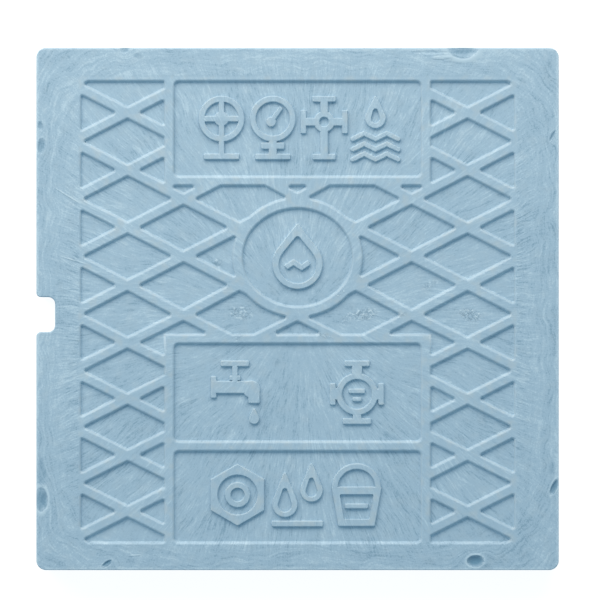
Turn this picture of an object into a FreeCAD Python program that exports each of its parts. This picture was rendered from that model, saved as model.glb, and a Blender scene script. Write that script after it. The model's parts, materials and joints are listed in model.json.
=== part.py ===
import FreeCAD, Part
import math
import os
import Sketcher

# Cover of a below-ground water meter box, moulded in one piece.
# Units are millimetres. +Z is up, the walked-on face looks up, the finger
# notch is on the -X side, and the rim of the skirt rests on z = 0.

# Every driving dimension, in millimetres, degrees or as a count
DIMENSIONS = {
    # Outside of the cover
    "cover_width": 600,
    "cover_length": 600,
    "cover_height": 40,
    "corner_radius": 11,
    "side_draft": 1,
    "top_edge_radius": 1.6,
    # Hollow underside: a deck, a skirt and a grid of ribs
    "deck_thickness": 10,
    "skirt_wall": 8,
    "rib_wall": 4.5,
    "bays_across": 10,
    "bays_along": 10,
    "bay_draft": 1,
    "bay_corner": 2.5,
    # Finger notch in the left side, with a wall of its own below
    "notch_width": 40,
    "notch_reach": 21.5,
    "notch_centre": -6.5,
    "notch_inner_radius": 8,
    "notch_mouth_radius": 5,
    "notch_wall": 7,
    # Relief on the walked-on face
    "relief_depth": 3.5,
    "relief_draft": 20,
    "side_border": 50.6,
    "top_border": 38.1,
    "bottom_border": 31,
    "frame_rib": 10.1,
    "zone_rib": 9.3,
    "column_width": 97,
    "first_panel_length": 110.4,
    "middle_zone_length": 172.3,
    "second_panel_length": 113.4,
    "panel_corner_radius": 6,
    # Lattice of crossing ribs, set out from a row of crossings in each column.
    # The rows above it lie a little wider apart than those below.
    "lattice_rib": 10.5,
    "lattice_half_pitch": 64.25,
    "lattice_upper_pitch": 66.04,
    "lattice_lower_pitch": 64.55,
    "lattice_column": 195.25,
    "lattice_row": -39,
    "lattice_corner_radius": 2.5,
    # Oval ring above the middle
    "ring_centre": 59,
    "ring_half_width": 63.5,
    "ring_half_length": 57.1,
    "ring_rib": 10.9,
    # Ribs that lean on the ring's head and foot: level at the middle, rise to
    # the nearest crossing, and how far the foot presses the lattice down
    "head_rib": 9.6,
    "head_level": 127.3,
    "head_rise": 36.4,
    "foot_rib": 7.7,
    "foot_level": -9.3,
    "foot_rise": -33.4,
    "foot_sag": 1.3,
    # Scars that moulding and handling left beside the outer edge. Each is a
    # shallow dish at a distance along its side and another from that edge.
    "top_left_nick_at": -199,
    "top_left_nick_from_edge": 0,
    "top_left_nick_half_length": 7.4,
    "top_left_nick_half_width": 7.4,
    "top_left_nick_depth": 1.2,
    "top_left_nick_turn": 0,
    "top_right_wedge_at": 191,
    "top_right_wedge_from_edge": 1.5,
    "top_right_wedge_half_length": 16,
    "top_right_wedge_half_width": 10,
    "top_right_wedge_depth": 1.9,
    "top_right_wedge_turn": -8,
    "top_right_groove_at": 152,
    "top_right_groove_from_edge": 5.6,
    "top_right_groove_half_length": 24,
    "top_right_groove_half_width": 2.6,
    "top_right_groove_depth": 0.6,
    "top_right_groove_turn": 0,
    "left_upper_nick_at": 210.5,
    "left_upper_nick_from_edge": 5,
    "left_upper_nick_half_length": 5.6,
    "left_upper_nick_half_width": 2.8,
    "left_upper_nick_depth": 0.9,
    "left_upper_nick_turn": 90,
    "left_upper_dent_at": 187,
    "left_upper_dent_from_edge": 5.5,
    "left_upper_dent_half_length": 9.4,
    "left_upper_dent_half_width": 3.8,
    "left_upper_dent_depth": 1.1,
    "left_upper_dent_turn": 84,
    "left_lower_scoop_at": -198,
    "left_lower_scoop_from_edge": 4.5,
    "left_lower_scoop_half_length": 33,
    "left_lower_scoop_half_width": 7.2,
    "left_lower_scoop_depth": 1.3,
    "left_lower_scoop_turn": 94,
    "left_lower_hollow_at": -219,
    "left_lower_hollow_from_edge": 9,
    "left_lower_hollow_half_length": 13,
    "left_lower_hollow_half_width": 4.8,
    "left_lower_hollow_depth": 1.7,
    "left_lower_hollow_turn": 97,
    "bottom_left_nick_at": -219.3,
    "bottom_left_nick_from_edge": 7.7,
    "bottom_left_nick_half_length": 7.8,
    "bottom_left_nick_half_width": 2.1,
    "bottom_left_nick_depth": 0.9,
    "bottom_left_nick_turn": 32,
    "bottom_right_pit_at": 204.5,
    "bottom_right_pit_from_edge": 10.6,
    "bottom_right_pit_half_length": 10.4,
    "bottom_right_pit_half_width": 7,
    "bottom_right_pit_depth": 2.3,
    "bottom_right_pit_turn": 8,
    "right_upper_nick_at": 198.6,
    "right_upper_nick_from_edge": 6.9,
    "right_upper_nick_half_length": 8.3,
    "right_upper_nick_half_width": 2,
    "right_upper_nick_depth": 0.9,
    "right_upper_nick_turn": 62,
    "right_lower_nick_at": -205,
    "right_lower_nick_from_edge": 5.6,
    "right_lower_nick_half_length": 10.2,
    "right_lower_nick_half_width": 3.4,
    "right_lower_nick_depth": 1.3,
    "right_lower_nick_turn": 62,
}

# How near a level counts as on it, what climbs far enough to be a wall, and
# how near a notch's edge may lie to where it's looked for, in millimetres
LEVEL_PLAY = 0.001
LEAST_WALL = 1
NEARBY = 1.5
# The most that one straight bend of a rounded corner turns, in degrees
BEND_STEP = 30
# How broad a cell must be for round corners, in corner radii, and to be kept
# at all, in reaches of its walls
ROUNDED_FROM = 1.5
KEPT_FROM = 1.4

Vector = FreeCAD.Vector
doc = FreeCAD.newDocument("water_meter_box_cover")
sheet = doc.addObject("Spreadsheet::Sheet", "sizes")
for row, (alias, number) in enumerate(DIMENSIONS.items(), 1):
    sheet.set("A{}".format(row), alias)
    sheet.set("B{}".format(row), str(number))
    sheet.setAlias("B{}".format(row), alias)
doc.recompute()


def value(alias):
    """Read one named value back from the sheet."""
    return float(sheet.get(alias))


def tied(words):
    """Turn a line of named values and signs into an expression."""
    parts = ["sizes." + word if word in DIMENSIONS else word for word in words.split()]
    return " ".join(parts)


def tie(item, prop, words):
    """Bind a property to the sheet."""
    item.setExpression(prop, tied(words))


def origin_item(body, role):
    """Find one of a body's own origin planes or axes."""
    return next(item for item in body.Origin.OriginFeatures if item.Role == role)


def level_sketch(body, label, height):
    """Start a sketch that lies level at a height."""
    sketch = body.newObject("Sketcher::SketchObject", label)
    sketch.Label = label
    sketch.AttachmentSupport = [(origin_item(body, "XY_Plane"), "")]
    sketch.MapMode = "FlatFace"
    tie(sketch, "AttachmentOffset.Base.z", height)
    return sketch


def draw_rectangle(sketch, left, right, bottom, top):
    """Draw four lines and tie each side's distance from the origin."""
    spots = [Vector(-9, -9, 0), Vector(9, -9, 0), Vector(9, 9, 0), Vector(-9, 9, 0)]
    for index in range(4):
        sketch.addGeometry(Part.LineSegment(spots[index], spots[(index + 1) % 4]), False)
    for index in range(4):
        joint = Sketcher.Constraint("Coincident", index, 2, (index + 1) % 4, 1)
        sketch.addConstraint(joint)
    for index in (0, 2):
        sketch.addConstraint(Sketcher.Constraint("Horizontal", index))
        sketch.addConstraint(Sketcher.Constraint("Vertical", index + 1))
    tie_distance(sketch, "DistanceX", 0, 1, -9, left)
    tie_distance(sketch, "DistanceX", 1, 1, 9, right)
    tie_distance(sketch, "DistanceY", 0, 1, -9, bottom)
    tie_distance(sketch, "DistanceY", 2, 1, 9, top)
    doc.recompute()


def tie_distance(sketch, kind, line, end, start, words):
    """Tie a point's signed distance from the origin to the sheet."""
    number = sketch.addConstraint(Sketcher.Constraint(kind, -1, 1, line, end, start))
    tie(sketch, "Constraints[{}]".format(number), words)


def settle(item, label):
    """Name a feature, rebuild, and stop if it came out wrong."""
    item.Label = label
    doc.recompute()
    if item.Shape.isNull() or not item.Shape.isValid():
        raise ValueError(label + " has no valid shape")
    return item


def edges_where(shape, test):
    """List the names of the edges that pass a test."""
    return ["Edge{}".format(i + 1) for i, edge in enumerate(shape.Edges) if test(edge)]


def faces_where(shape, test):
    """List the names of the faces that pass a test."""
    return ["Face{}".format(i + 1) for i, face in enumerate(shape.Faces) if test(face)]


def is_upright(edge):
    """Say whether an edge climbs."""
    return edge.BoundBox.ZLength > LEAST_WALL


def slant(body, label, walled, is_wall, neutral, angle, reversed_pull):
    """Give the walls of a feature their moulding draft."""
    draft = body.newObject("PartDesign::Draft", label)
    draft.Base = (walled, faces_where(walled.Shape, is_wall))
    draft.NeutralPlane = neutral
    draft.Reversed = reversed_pull
    tie(draft, "Angle", angle)
    return settle(draft, label)


half_width = value("cover_width") / 2
half_length = value("cover_length") / 2
top_level = value("cover_height")


def start_body(label):
    """Start a body that may hold several solids on the way."""
    body = doc.addObject("PartDesign::Body", label)
    body.Label = label
    body.AllowCompound = True
    return body


def stands(face):
    """Say whether a face is a wall."""
    return face.BoundBox.ZLength > LEAST_WALL


def is_top(face):
    """Say whether a face is the top face."""
    return face.BoundBox.ZMin > top_level - LEVEL_PLAY


# Solid slab: full size at the top, drawn in towards the rim by the draft
slab_body = start_body("slab_with_notch")
slab_outline = level_sketch(slab_body, "slab_outline", "0 mm")
draw_rectangle(
    slab_outline,
    "- cover_width / 2",
    "cover_width / 2",
    "- cover_length / 2",
    "cover_length / 2",
)
slab = slab_body.newObject("PartDesign::Pad", "slab")
slab.Profile = slab_outline
tie(slab, "Length", "cover_height")
settle(slab, "slab")
slab_top = (slab, faces_where(slab.Shape, is_top))
drawn_slab = slant(slab_body, "drawn_slab", slab, stands, slab_top, "side_draft", True)
corners = slab_body.newObject("PartDesign::Fillet", "slab_corners")
corners.Base = (drawn_slab, edges_where(drawn_slab.Shape, is_upright))
tie(corners, "Radius", "corner_radius")
settle(corners, "slab_corners")

# Finger notch right through the left side, a little wider towards the rim
notch_outline = level_sketch(slab_body, "notch_outline", "0 mm")
draw_rectangle(
    notch_outline,
    "- cover_width / 2 - notch_reach",
    "- cover_width / 2 + notch_reach",
    "notch_centre - notch_width / 2",
    "notch_centre + notch_width / 2",
)
notch = slab_body.newObject("PartDesign::Pocket", "notch")
notch.Profile = notch_outline
notch.Reversed = True
tie(notch, "Length", "cover_height")
settle(notch, "notch")


def is_notch_wall(face):
    """Say whether a face is one of the notch's three walls."""
    box = face.BoundBox
    within = box.YLength < value("notch_width") + NEARBY and stands(face)
    beyond = abs(box.Center.y - value("notch_centre")) > value("notch_width") / 2 + NEARBY
    inner = -half_width + value("notch_reach")
    return within and box.XMax < inner + NEARBY and not beyond


def is_notch_corner(edge):
    """Say whether an edge is one of the notch's two inner corners."""
    inner = -half_width + value("notch_reach")
    return is_upright(edge) and abs(edge.BoundBox.XMin - inner) < NEARBY


def is_notch_mouth(edge):
    """Say whether an edge is where the notch meets the outside wall."""
    box = edge.BoundBox
    off_centre = abs(box.Center.y - value("notch_centre"))
    beside = abs(off_centre - value("notch_width") / 2) < NEARBY
    return is_upright(edge) and beside and box.XMax < -half_width + NEARBY


def lies_on_top(edge):
    """Say whether an edge bounds the top of the outer wall."""
    return edge.BoundBox.ZMin > top_level - LEVEL_PLAY


notch_top = (notch, faces_where(notch.Shape, is_top))
drawn_notch = slant(slab_body, "drawn_notch", notch, is_notch_wall, notch_top, "side_draft", True)
notch_corners = slab_body.newObject("PartDesign::Fillet", "notch_corners")
notch_corners.Base = (drawn_notch, edges_where(drawn_notch.Shape, is_notch_corner))
tie(notch_corners, "Radius", "notch_inner_radius")
settle(notch_corners, "notch_corners")
mouth = slab_body.newObject("PartDesign::Fillet", "notch_mouth")
mouth.Base = (notch_corners, edges_where(notch_corners.Shape, is_notch_mouth))
tie(mouth, "Radius", "notch_mouth_radius")
settle(mouth, "notch_mouth")
top_edge = slab_body.newObject("PartDesign::Fillet", "top_edge")
top_edge.Base = (mouth, edges_where(mouth.Shape, lies_on_top))
tie(top_edge, "Radius", "top_edge_radius")
settle(top_edge, "top_edge")

# Core of one bay of the underside, then the whole grid of bays
bay_body = start_body("bay_cores")
bay_outline = level_sketch(bay_body, "bay_outline", "0 mm")
bay_pitch_across = "( cover_width - 2 * skirt_wall + rib_wall ) / bays_across"
bay_pitch_along = "( cover_length - 2 * skirt_wall + rib_wall ) / bays_along"
draw_rectangle(
    bay_outline,
    "- cover_width / 2 + skirt_wall",
    "- cover_width / 2 + skirt_wall - rib_wall + " + bay_pitch_across,
    "- cover_length / 2 + skirt_wall",
    "- cover_length / 2 + skirt_wall - rib_wall + " + bay_pitch_along,
)
bay = bay_body.newObject("PartDesign::Pad", "bay")
bay.Profile = bay_outline
tie(bay, "Length", "cover_height - deck_thickness")
settle(bay, "bay")
rim_level = (origin_item(bay_body, "XY_Plane"), [""])
drawn_bay = slant(bay_body, "drawn_bay", bay, stands, rim_level, "bay_draft", True)
bay_corners = bay_body.newObject("PartDesign::Chamfer", "bay_corners")
bay_corners.Base = (drawn_bay, edges_where(drawn_bay.Shape, is_upright))
tie(bay_corners, "Size", "bay_corner")
settle(bay_corners, "bay_corners")


def repeat(body, label, axis, count, pitch):
    """Repeat everything in a body along an axis."""
    row = body.newObject("PartDesign::LinearPattern", label)
    row.TransformMode = "Whole shape"
    row.Direction = (origin_item(body, axis), [""])
    tie(row, "Occurrences", count)
    tie(row, "Length", pitch + " * ( " + count + " - 1 )")
    body.Tip = row
    return settle(row, label)


repeat(bay_body, "bay_row", "X_Axis", "bays_across", bay_pitch_across)
grid = repeat(bay_body, "bay_grid", "Y_Axis", "bays_along", bay_pitch_along)

# Wall round the notch: the bays stop short of it
wall_outline = level_sketch(bay_body, "notch_wall_outline", "0 mm")
draw_rectangle(
    wall_outline,
    "- cover_width / 2",
    "- cover_width / 2 + notch_reach + notch_wall",
    "notch_centre - notch_width / 2 - notch_wall",
    "notch_centre + notch_width / 2 + notch_wall",
)
notch_wall = bay_body.newObject("PartDesign::Pocket", "notch_wall")
notch_wall.Profile = wall_outline
notch_wall.Reversed = True
tie(notch_wall, "Length", "cover_height")
settle(notch_wall, "notch_wall")


# Relief on the walked-on face, set out flat before it is sunk
class Relief:
    """Levels and edges of the recessed fields, all from the sheet."""

    outer = half_width - value("side_border")
    inner = outer - value("column_width")
    panel = inner - value("frame_rib")
    top = half_length - value("top_border")
    first_low = top - value("first_panel_length")
    middle_top = first_low - value("zone_rib")
    middle_low = middle_top - value("middle_zone_length")
    second_top = middle_low - value("zone_rib")
    second_low = second_top - value("second_panel_length")
    third_top = second_low - value("frame_rib")
    low = -half_length + value("bottom_border")
    reach = value("relief_depth") * math.tan(math.radians(value("relief_draft")))


def flat_face(points):
    """Close a flat face through points given as x and y."""
    spots = [Vector(x, y, 0) for x, y in points]
    return Part.Face(Part.makePolygon(spots + spots[:1]))


def box_face(left, right, low, top):
    """Make a flat rectangle."""
    return flat_face([(left, low), (right, low), (right, top), (left, top)])


def oval_face(half_across, half_along):
    """Make an oval of four tangent arcs about the ring's centre."""
    shift = (half_across - half_along) / (2 - math.sqrt(2))
    end_radius = half_across - shift
    join_x = shift + end_radius * math.sqrt(0.5)
    join_y = end_radius * math.sqrt(0.5)
    turn = [(join_x, join_y), (0, half_along), (-join_x, join_y), (-half_across, 0)]
    turn += [(-x, -y) for x, y in turn]
    spots = [Vector(x, y + value("ring_centre"), 0) for x, y in turn]
    arcs = []
    for first in range(0, 8, 2):
        arc = Part.Arc(spots[first], spots[first + 1], spots[(first + 2) % 8])
        arcs.append(arc.toShape())
    return Part.Face(Part.Wire(arcs))


def crossing(column, row):
    """Place a crossing, counted in half pitches from the first column and row."""
    upper = value("lattice_upper_pitch")
    pitch = upper if row > 0 else value("lattice_lower_pitch")
    sags = column > 0 and row in (0, 1)
    level = value("lattice_row") + row * pitch / 2 - sags * value("foot_sag")
    return (column * value("lattice_half_pitch") - value("lattice_column"), level)


def rib_along(spots, width):
    """Lay a slanting rib along points on the left half, and its mirror image."""
    run = spots[-1][0] - spots[0][0]
    climb = spots[-1][1] - spots[0][1]
    half = width / 2 * math.hypot(run, climb) / run
    outline = [(x, y - half) for x, y in spots] + [(x, y + half) for x, y in reversed(spots)]
    return [flat_face(outline), flat_face([(-x, y) for x, y in reversed(outline)])]


def lattice_ribs():
    """Lay both sets of slanting ribs between the outer edge and the ring.

    Each rib runs through four crossings. Where it heads for the ring it goes on
    for half a step, far enough to end under the ring.
    """
    ribs = []
    half_rows = int(value("cover_length") / value("lattice_lower_pitch")) + 2
    ring_reach = value("ring_half_length") + value("ring_rib")
    for row in range(-2 * half_rows, 2 * half_rows + 1, 2):
        for lean in (1, -1):
            spots = [crossing(column, row + lean * column) for column in range(-1, 4)]
            beyond = spots.pop()
            levels = [y for x, y in spots]
            if min(levels) > Relief.top or max(levels) < Relief.low:
                continue
            if abs(levels[-1] - value("ring_centre")) < ring_reach:
                spots.append(((spots[-1][0] + beyond[0]) / 2, (levels[-1] + beyond[1]) / 2))
            ribs += rib_along(spots, value("lattice_rib"))
    start = crossing(2, 0)[0]
    for name in ("head", "foot"):
        level = value(name + "_level")
        spots = [(start, level + value(name + "_rise")), (0, level)]
        ribs += rib_along(spots, value(name + "_rib"))
    return ribs


def with_round_corners(face, radius):
    """Round the outward corners of a flat face."""
    shrunk = face.makeOffset2D(-radius, 0, False, False, False)
    return shrunk.makeOffset2D(radius, 0, False, False, False).Faces[0]


def with_bent_corners(face, radius):
    """Round the outward corners of a flat face with short straight bends."""
    sides = []
    for edge in with_round_corners(face, radius).OuterWire.OrderedEdges:
        is_line = edge.Curve.TypeId == "Part::GeomLine"
        if is_line or edge.Curve.Radius > 2 * radius:
            sides.append(edge)
            continue
        bends = max(2, math.ceil(edge.Length / radius / math.radians(BEND_STEP)))
        spots = edge.discretize(bends + 1)
        sides += [Part.makeLine(spots[i], spots[i + 1]) for i in range(bends)]
    return Part.Face(Part.Wire(Part.__sortEdges__(sides)))


def half_breadth(face):
    """Measure how broad a flat face is, as the radius of a like circle."""
    return 2 * face.Area / face.Length


def recess_faces():
    """Set out every recess at the level of the top face."""
    field = flat_face(
        [
            (-Relief.outer, Relief.low),
            (-Relief.inner, Relief.low),
            (-Relief.inner, Relief.middle_low),
            (Relief.inner, Relief.middle_low),
            (Relief.inner, Relief.low),
            (Relief.outer, Relief.low),
            (Relief.outer, Relief.top),
            (Relief.inner, Relief.top),
            (Relief.inner, Relief.middle_top),
            (-Relief.inner, Relief.middle_top),
            (-Relief.inner, Relief.top),
            (-Relief.outer, Relief.top),
        ]
    )
    oval_across = value("ring_half_width")
    oval_along = value("ring_half_length")
    ring = oval_face(oval_across + value("ring_rib"), oval_along + value("ring_rib"))
    cells = []
    for cell in field.cut(lattice_ribs() + [ring]).Faces:
        radius = value("lattice_corner_radius")
        if half_breadth(cell) > ROUNDED_FROM * radius:
            cells.append(with_bent_corners(cell, radius))
        elif half_breadth(cell) > KEPT_FROM * Relief.reach:
            cells.append(cell)
    cells.append(oval_face(oval_across, oval_along))
    rows = [(Relief.first_low, Relief.top), (Relief.second_low, Relief.second_top)]
    rows += [(Relief.low, Relief.third_top)]
    for low, top in rows:
        panel = box_face(-Relief.panel, Relief.panel, low, top)
        cells.append(with_round_corners(panel, value("panel_corner_radius")))
    return cells


def side_between(upper, lower):
    """Span the slanted side between an edge of the mouth and one of the floor."""
    if upper.Curve.TypeId == "Part::GeomLine":
        start, end = upper.Vertexes[0].Point, upper.Vertexes[-1].Point
        below = sorted((vertex.Point for vertex in lower.Vertexes), key=start.distanceToPoint)
        return Part.Face(Part.makePolygon([start, end, below[-1], below[0], start]))
    return Part.makeRuledSurface(upper, lower).Faces[0]


def sunk_recess(mouth_face):
    """Close the solid between a recess's mouth and its smaller floor."""
    floor = mouth_face.makeOffset2D(-Relief.reach, 2, False, False, False).Faces[0]
    floor.translate(Vector(0, 0, -value("relief_depth")))
    sides = []
    lower_edges = floor.OuterWire.Edges
    for upper in mouth_face.OuterWire.Edges:
        middle = upper.CenterOfMass
        lower = min(lower_edges, key=lambda edge: edge.CenterOfMass.distanceToPoint(middle))
        sides.append(side_between(upper, lower))
    shell = Part.makeShell([mouth_face, floor] + sides)
    shell.sewShape()
    solid = Part.Solid(shell)
    if solid.Volume < 0:
        solid.reverse()
    return solid


relief = doc.addObject("Part::Feature", "relief_recesses")
relief.Shape = Part.makeCompound([sunk_recess(cell) for cell in recess_faces()])
relief.Placement.Base = Vector(0, 0, top_level)
settle(relief, "relief_recesses")


# Where a scar lies, from its distance along a side and from that side's edge
SIDES = {
    "top": ("{}_at", "cover_length / 2 - {}_from_edge"),
    "bottom": ("{}_at", "- cover_length / 2 + {}_from_edge"),
    "left": ("- cover_width / 2 + {}_from_edge", "{}_at"),
    "right": ("cover_width / 2 - {}_from_edge", "{}_at"),
}


def scar(name):
    """Hold an ellipsoid over the top face so that it sinks a shallow dish."""
    tool = doc.addObject("Part::Ellipsoid", name)
    turn = FreeCAD.Rotation(Vector(0, 0, 1), value(name + "_turn"))
    tool.Placement = FreeCAD.Placement(Vector(0, 0, 0), turn)
    across, along = SIDES[name.split("_")[0]]
    tie(tool, "Placement.Base.x", across.format(name))
    tie(tool, "Placement.Base.y", along.format(name))
    tie(tool, "Placement.Base.z", "cover_height + {}_depth".format(name))
    tie(tool, "Radius1", "2 * {}_depth".format(name))
    tie(tool, "Radius2", "2 * {}_half_length / sqrt(3)".format(name))
    tie(tool, "Radius3", "2 * {}_half_width / sqrt(3)".format(name))
    return settle(tool, name)


scars = [scar(word[: -len("_turn")]) for word in DIMENSIONS if word.endswith("_turn")]

# Everything hollow comes out of the slab in one cut
cutters = doc.addObject("Part::Compound", "cutters")
cutters.Links = [bay_body, relief] + scars
cover = doc.addObject("Part::Cut", "cover")
cover.Base = slab_body
cover.Tool = cutters
settle(cover, "cover")

for item in doc.Objects:
    if "Invalid" in item.State or "Error" in item.State:
        raise ValueError(item.Label + " failed")
if len(cover.Shape.Solids) != 1:
    raise ValueError("the cover isn't one solid")
os.makedirs("parts", exist_ok=True)
cover.Shape.exportStep("parts/cover.step")
print("cover", cover.Shape.Volume, len(cover.Shape.Faces))
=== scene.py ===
import enum
import json
import logging
import math
from collections.abc import Callable, Sequence
from dataclasses import dataclass

import bpy
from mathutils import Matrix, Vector

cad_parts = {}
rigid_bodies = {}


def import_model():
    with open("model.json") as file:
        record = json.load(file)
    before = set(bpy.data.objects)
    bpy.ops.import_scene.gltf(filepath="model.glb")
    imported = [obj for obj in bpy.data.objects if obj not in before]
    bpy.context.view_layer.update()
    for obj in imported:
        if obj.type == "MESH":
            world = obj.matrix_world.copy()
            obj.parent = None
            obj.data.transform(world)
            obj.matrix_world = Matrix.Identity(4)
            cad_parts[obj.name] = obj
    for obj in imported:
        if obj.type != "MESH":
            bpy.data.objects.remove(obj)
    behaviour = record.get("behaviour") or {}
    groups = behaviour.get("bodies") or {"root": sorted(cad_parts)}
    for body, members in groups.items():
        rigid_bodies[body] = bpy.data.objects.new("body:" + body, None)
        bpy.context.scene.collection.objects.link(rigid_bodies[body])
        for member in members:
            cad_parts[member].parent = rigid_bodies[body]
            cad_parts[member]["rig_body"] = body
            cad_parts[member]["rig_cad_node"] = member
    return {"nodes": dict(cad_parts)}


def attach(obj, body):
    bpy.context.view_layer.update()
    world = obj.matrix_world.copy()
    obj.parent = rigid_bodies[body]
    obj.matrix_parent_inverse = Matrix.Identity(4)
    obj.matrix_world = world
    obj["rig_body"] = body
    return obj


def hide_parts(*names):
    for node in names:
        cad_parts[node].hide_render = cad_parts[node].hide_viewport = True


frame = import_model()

LOG = logging.getLogger("meter_box_cover")
BODY = "root"
NODE = "cover"
MM = 0.001
NOISE_MIDDLE = 0.5
WHITE = (1.0, 1.0, 1.0, 1.0)

Point = tuple[float, float]
Lobe = tuple[float, float, float]
Tone = tuple[float, float, float]
Colour = tuple[int, int, int]
Value = "float | Wire"


class Element(enum.Enum):
    """What a selection in edit mode is made of."""

    EDGE = "EDGE"
    FACE = "FACE"


class Motif(enum.Enum):
    """The generic raised marks that stand in the panels and in the ring."""

    HANDWHEEL = "handwheel"
    GAUGE = "gauge"
    CROSS_PIPE = "cross_pipe"
    SPRING_WATER = "spring_water"
    BIG_DROP = "big_drop"
    TAP = "tap"
    METER_BODY = "meter_body"
    HEX_NUT = "hex_nut"
    DROP_PAIR = "drop_pair"
    BUCKET = "bucket"


class Bench:
    """Modelling steps that several pieces share."""

    @staticmethod
    def clear() -> None:
        """Leave edit mode and drop every selection."""
        if bpy.context.object is not None and bpy.context.object.mode != "OBJECT":
            bpy.ops.object.mode_set(mode="OBJECT")
        bpy.ops.object.select_all(action="DESELECT")

    @staticmethod
    def take(piece: bpy.types.Object) -> None:
        """Select one piece alone and make it the active one.

        Args:
            piece: The object to work on.
        """
        Bench.clear()
        piece.select_set(True)
        bpy.context.view_layer.objects.active = piece

    @staticmethod
    def added(name: str) -> bpy.types.Object:
        """Name the primitive that was just added and put its place in its mesh.

        Args:
            name: The new object's name.

        Returns:
            The object, at the origin, unturned and unscaled.
        """
        piece = bpy.context.object
        piece.name = name
        piece.data.name = name
        bpy.ops.object.transform_apply(location=True, rotation=True, scale=True)
        return piece

    @staticmethod
    def pick(piece: bpy.types.Object, element: Element, test: Callable[..., bool]) -> int:
        """Select in edit mode the elements that pass a test.

        Args:
            piece: The object whose mesh is edited.
            element: What is selected.
            test: Says of an edge or a face whether it is taken.

        Returns:
            How many elements were taken.
        """
        Bench.take(piece)
        bpy.ops.object.mode_set(mode="EDIT")
        bpy.ops.mesh.select_mode(type=element.value)
        bpy.ops.mesh.select_all(action="DESELECT")
        bpy.ops.object.mode_set(mode="OBJECT")
        mesh = piece.data
        groups = {Element.EDGE: mesh.edges, Element.FACE: mesh.polygons}
        taken = 0
        for item in groups[element]:
            item.select = test(item)
            taken += item.select
        bpy.ops.object.mode_set(mode="EDIT")
        return taken

    @staticmethod
    def sharp_edges(piece: bpy.types.Object, angle: float) -> set[int]:
        """Find the edges whose faces meet at more than an angle.

        Args:
            piece: The object to look at.
            angle: The least angle, in degrees.

        Returns:
            The numbers of the edges.
        """
        Bench.take(piece)
        bpy.ops.object.mode_set(mode="EDIT")
        bpy.ops.mesh.select_mode(type=Element.EDGE.value)
        bpy.ops.mesh.select_all(action="DESELECT")
        bpy.ops.mesh.edges_select_sharp(sharpness=math.radians(angle))
        bpy.ops.object.mode_set(mode="OBJECT")
        return {edge.index for edge in piece.data.edges if edge.select}

    @staticmethod
    def join_points(piece: bpy.types.Object, reach: float) -> None:
        """Make points one that lie nearer to each other than a reach.

        Args:
            piece: The object to tidy.
            reach: The distance.
        """
        Bench.take(piece)
        bpy.ops.object.mode_set(mode="EDIT")
        bpy.ops.mesh.select_all(action="SELECT")
        bpy.ops.mesh.remove_doubles(threshold=reach)
        bpy.ops.object.mode_set(mode="OBJECT")

    @staticmethod
    def clear_flats(piece: bpy.types.Object, flat: float) -> None:
        """Clear the edges inside flat faces, but for those that are marked as seams.

        Args:
            piece: The object to tidy.
            flat: The angle in degrees under which faces count as one.
        """
        Bench.take(piece)
        bpy.ops.object.mode_set(mode="EDIT")
        bpy.ops.mesh.select_all(action="SELECT")
        bpy.ops.mesh.dissolve_limited(angle_limit=math.radians(flat), delimit={"SEAM"})
        bpy.ops.object.mode_set(mode="OBJECT")

    @staticmethod
    def smooth(piece: bpy.types.Object, angle: float) -> None:
        """Shade smooth up to an angle, with flat faces kept flat.

        Args:
            piece: The object to shade.
            angle: The greatest angle that is smoothed, in degrees.
        """
        Bench.take(piece)
        bpy.ops.object.shade_smooth_by_angle(angle=math.radians(angle))
        bpy.ops.object.modifier_add(type="WEIGHTED_NORMAL")
        weigher = piece.modifiers[-1]
        weigher.mode = "FACE_AREA"
        weigher.keep_sharp = True
        bpy.ops.object.modifier_apply(modifier=weigher.name)

    @staticmethod
    def finish_piece(piece: bpy.types.Object, material: bpy.types.Material) -> None:
        """Dress a piece and let it ride on the cover's body.

        Args:
            piece: The finished object.
            material: Its finish.
        """
        piece.data.materials.clear()
        piece.data.materials.append(material)
        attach(piece, BODY)
        faces = sum(len(polygon.vertices) - 2 for polygon in piece.data.polygons)
        LOG.info("%s: %d triangles", piece.name, faces)


class Wire:
    """A socket of a material's node tree that can be used in arithmetic."""

    def __init__(self, board: "Board", socket: bpy.types.NodeSocket) -> None:
        """Hold a socket and the board that it belongs to."""
        self.board = board
        self.socket = socket

    def __add__(self, other: Value) -> "Wire":
        """Add."""
        return self.board.maths("ADD", self, other)

    __radd__ = __add__

    def __sub__(self, other: Value) -> "Wire":
        """Subtract."""
        return self.board.maths("SUBTRACT", self, other)

    def __rsub__(self, other: Value) -> "Wire":
        """Subtract from a number."""
        return self.board.maths("SUBTRACT", other, self)

    def __mul__(self, other: Value) -> "Wire":
        """Multiply."""
        return self.board.maths("MULTIPLY", self, other)

    __rmul__ = __mul__

    def __truediv__(self, other: Value) -> "Wire":
        """Divide."""
        return self.board.maths("DIVIDE", self, other)

    def __pow__(self, other: Value) -> "Wire":
        """Raise to a power."""
        return self.board.maths("POWER", self, other)

    def __abs__(self) -> "Wire":
        """Drop the sign."""
        return self.board.maths("ABSOLUTE", self)

    def other(self, output: str | int) -> "Wire":
        """Take another output of the same node."""
        return Wire(self.board, self.socket.node.outputs[output])


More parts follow.
